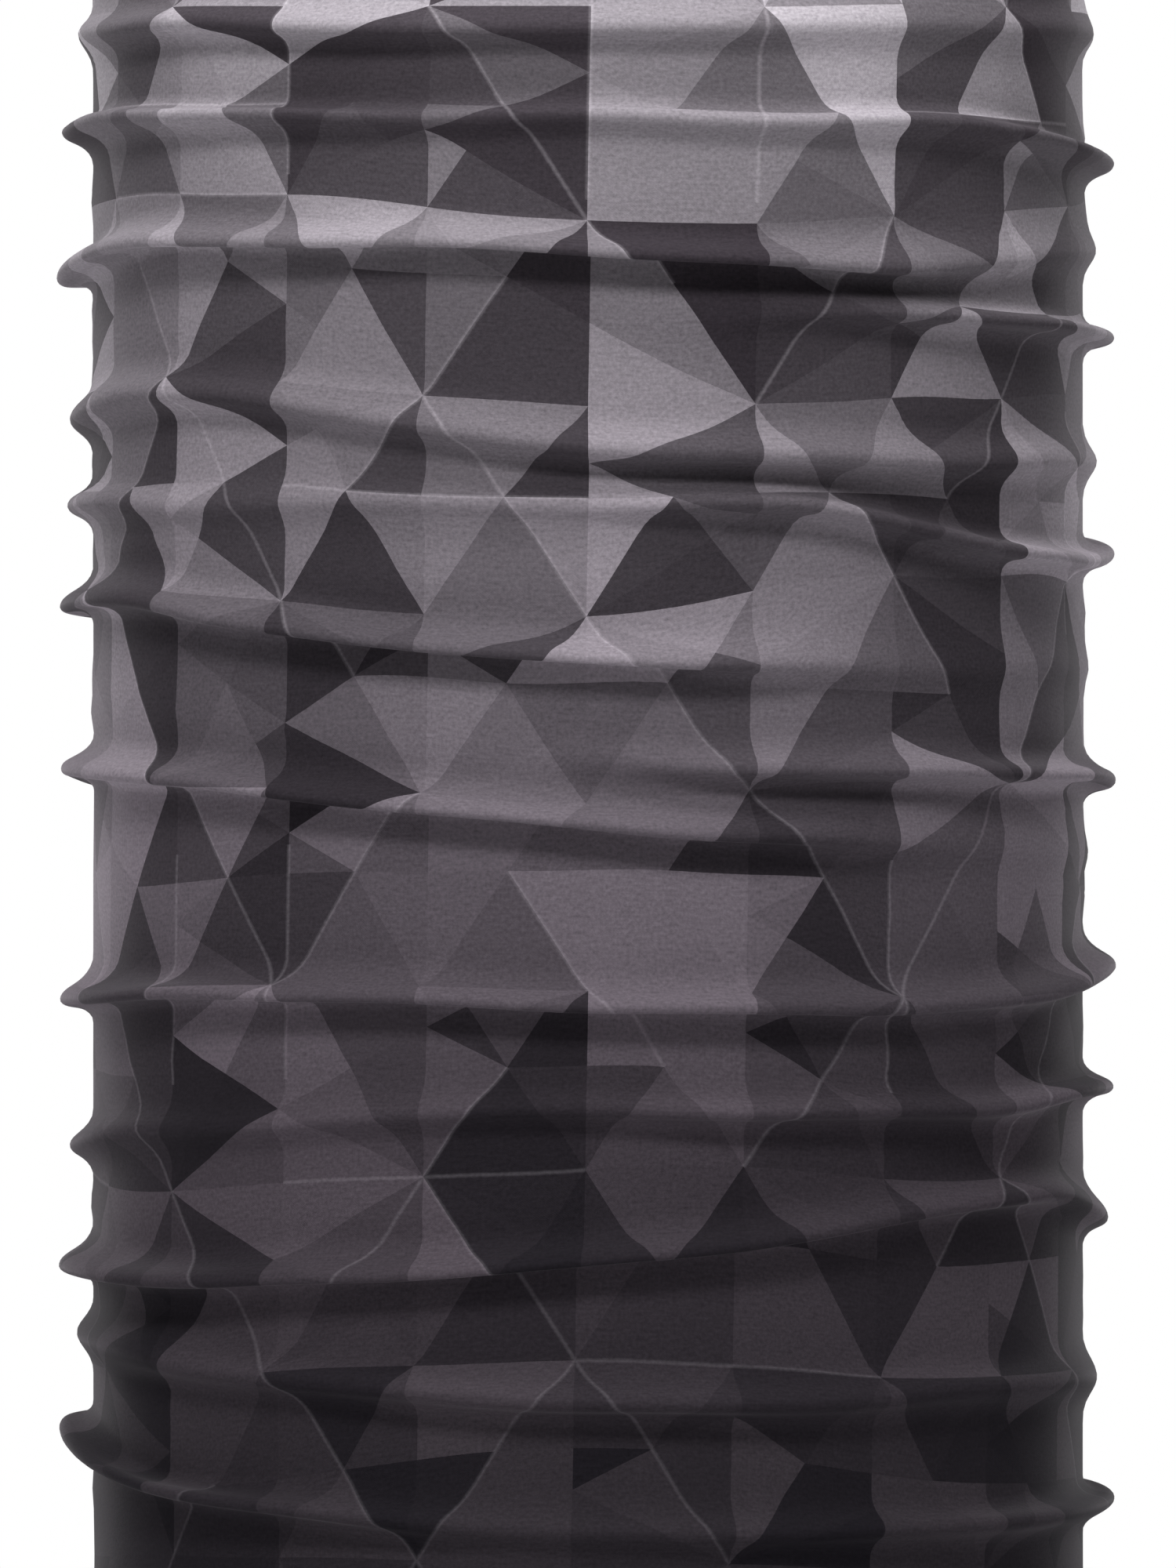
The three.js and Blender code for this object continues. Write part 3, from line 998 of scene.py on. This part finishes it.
def add_looper(end, thread, body):
    """The looper thread inside a hem. It crosses between the rows and loops round each needle stitch."""
    turns = np.arange(STITCHES * LOOPER_STEPS) / LOOPER_STEPS
    phase = math.tau * turns
    middle = sum(NEEDLE_DEPTHS) / 2
    reach = (NEEDLE_DEPTHS[1] - NEEDLE_DEPTHS[0]) / 2
    sweep = np.cos(phase) * (1 + LOOPER_SHARPNESS * np.cos(2 * phase)) / (1 + LOOPER_SHARPNESS)
    height = edge_height(end, middle) + reach * sweep
    angle = math.tau / STITCHES * (turns + LOOPER_SWING * np.sin(2 * phase))
    radius = HEM_FACE - LOOPER_DIAMETER * (LOOPER_REST + LOOPER_RISE * np.abs(np.sin(phase)))
    path = turned_points(radius, height, angle)[None]
    looper = thread_piece(f"{end}_looper_stitches", path, LOOPER_DIAMETER, thread, closed=True)
    stand_for(looper, f"{end}_looper_thread", body)


def label_points(across, along):
    """Points of the label's face, which looks in, from its place across and up it."""
    share = along / LABEL_LENGTH
    held = HEM_FACE - LABEL_STAND_OFF
    lean = 1 + LABEL_CORNER * across / LABEL_WIDTH
    curl = LABEL_CURL * np.clip(share - LABEL_CURL_START, 0, 1) ** 2 * lean
    phase = math.tau * (across / LABEL_WIDTH + LABEL_WAVE_START) + LABEL_WAVE_TURN * share
    wave = LABEL_WAVE * share * np.sin(phase)
    return turned_points(held - curl - wave, LABEL_LOW.z + along, math.pi - across / held)


def label_stitches(thread):
    """The row of stitches that holds the label, on its face."""
    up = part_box("care_label_stitch")[0].z - LABEL_LOW.z + NEEDLE_DIAMETER / 2
    pitch = (LABEL_WIDTH - 2 * LABEL_STITCH_MARGIN) / LABEL_STITCHES
    share = np.linspace(0, 1, STITCH_STEPS)
    stitch = np.arange(LABEL_STITCHES)[:, None]
    across = LABEL_STITCH_MARGIN - LABEL_WIDTH / 2 + pitch * (stitch + STITCH_SHARE * share)
    paths = label_points(across, np.full_like(across, up))
    inward = -paths * (1, 1, 0) / np.linalg.norm(paths[..., :2], axis=-1, keepdims=True)
    paths = paths + inward * stitch_arch(share)[:, None]
    return thread_piece("label_stitches", paths, NEEDLE_DIAMETER, thread)


def add_label(satin, thread):
    across, along = np.meshgrid(
        np.linspace(-LABEL_WIDTH / 2, LABEL_WIDTH / 2, LABEL_COLUMNS + 1),
        np.linspace(0, LABEL_LENGTH, LABEL_ROWS + 1),
    )
    place = np.stack([across, along], axis=-1) / MM
    label = cloth_piece("blank_care_label", label_points(across, along), place, LABEL_CLOTH, [satin])
    stitches = label_stitches(thread)
    stand_for(label, "care_label", BODY)
    stand_for(stitches, "care_label_stitch", BODY)


# ---- the studio
LENS_DISTANCE = 3.5
SEEN_DIAMETERS = 1.585  # height of the camera's view, in diameters of the tube
SEEN_HEIGHT = 2 * WALL_RADIUS * SEEN_DIAMETERS
BOTTOM_HIDDEN = 30 * MM  # of the gaiter, below the camera's view
SENSOR_WIDTH = 36  # mm

# Each light's name, place, size in metres and power in watts
LIGHTS = (
    ("key", (-0.25, -1.55, 1.55), (0.9, 0.45), 32),
    ("overhead", (0.0, -0.45, 1.7), (1.2, 0.6), 18),
    ("rim_left", (-0.80, 1.4, 0.35), (0.4, 1.3), 20),
    ("rim_right", (0.80, 1.4, 0.35), (0.4, 1.3), 19),
)
SKY_LOW = 0.09  # the sky's brightness below the horizon
SKY_OVERHEAD = 0.42
SKY_BAND = (-0.1, 1.0)  # how far up it starts and stops growing brighter
FLOOR_RADIUS = 0.5
FLOOR_SIDES = 96
FLOOR_DROP = 0.5 * MM  # below the bottom edge
FLOOR_COLOUR = (0.80, 0.80, 0.81, 1)


def add_camera():
    """A long lens at the front, level, with both edges of the gaiter just outside its view."""
    data = bpy.data.cameras.new("camera")
    data.sensor_width = SENSOR_WIDTH
    data.lens = SENSOR_WIDTH * LENS_DISTANCE / SEEN_HEIGHT
    data.clip_end = 100
    camera = bpy.data.objects.new("camera", data)
    camera.location = (0, -LENS_DISTANCE, BOTTOM_HIDDEN + SEEN_HEIGHT / 2)
    camera.rotation_euler = (math.pi / 2, 0, 0)
    bpy.context.scene.collection.objects.link(camera)
    bpy.context.scene.camera = camera


def add_light(name, place, size, power):
    """A soft box that faces the middle of the gaiter."""
    data = bpy.data.lights.new(name, "AREA")
    data.shape = "RECTANGLE"
    data.size, data.size_y = size
    data.energy = power
    light = bpy.data.objects.new(name, data)
    light.location = place
    way = Vector((0, 0, HEIGHT / 2)) - Vector(place)
    light.rotation_euler = way.to_track_quat("-Z", "Y").to_euler()
    bpy.context.scene.collection.objects.link(light)


def add_world():
    """A white backdrop to the camera, and a dimmer sky that is brighter overhead to everything else."""
    world = bpy.data.worlds.new("studio")
    bpy.context.scene.world = world
    world.use_nodes = True
    m = Maths(world.node_tree)
    background = world.node_tree.nodes["Background"]
    way = m.node("ShaderNodeTexCoord").outputs["Generated"]
    rise = m.node("ShaderNodeSeparateXYZ", {"Vector": way}).outputs[2]
    sky = m.add(m.times(m.smooth(rise, *SKY_BAND), SKY_OVERHEAD - SKY_LOW), SKY_LOW)
    seen = m.node("ShaderNodeLightPath").outputs["Is Camera Ray"]
    m.fill(background, {"Color": (1, 1, 1, 1), "Strength": m.op("MAXIMUM", sky, seen)})


def add_floor():
    """A plain pale disc under the gaiter."""
    material, m, shader = new_material("studio_floor")
    m.fill(shader, {"Base Color": FLOOR_COLOUR, "Roughness": 0.7})
    bpy.ops.mesh.primitive_circle_add(
        vertices=FLOOR_SIDES, radius=FLOOR_RADIUS, fill_type="NGON", location=(0, 0, -FLOOR_DROP)
    )
    floor = bpy.context.object
    floor.name = "studio_floor"
    floor.data.materials.append(material)


# ---- the scene
add_camera()
add_world()
for light in LIGHTS:
    add_light(*light)
add_floor()
bpy.context.scene.view_settings.view_transform = "Standard"

wall, cloth_length = gathered_wall()
printed = printed_knit(cloth_length)
unprinted = inner_knit(cloth_length)
thread = sewing_thread()
hems = [
    add_hem("bottom", wall, [printed, unprinted], BODY),
    add_hem("top", wall, [printed, unprinted], TOP_BODY),
]
add_tube(wall, [printed, unprinted])
for end, body in (("bottom", BODY), ("top", TOP_BODY)):
    add_needle_rows(end, thread, body)
    add_looper(end, thread, body)
add_label(label_satin(), thread)
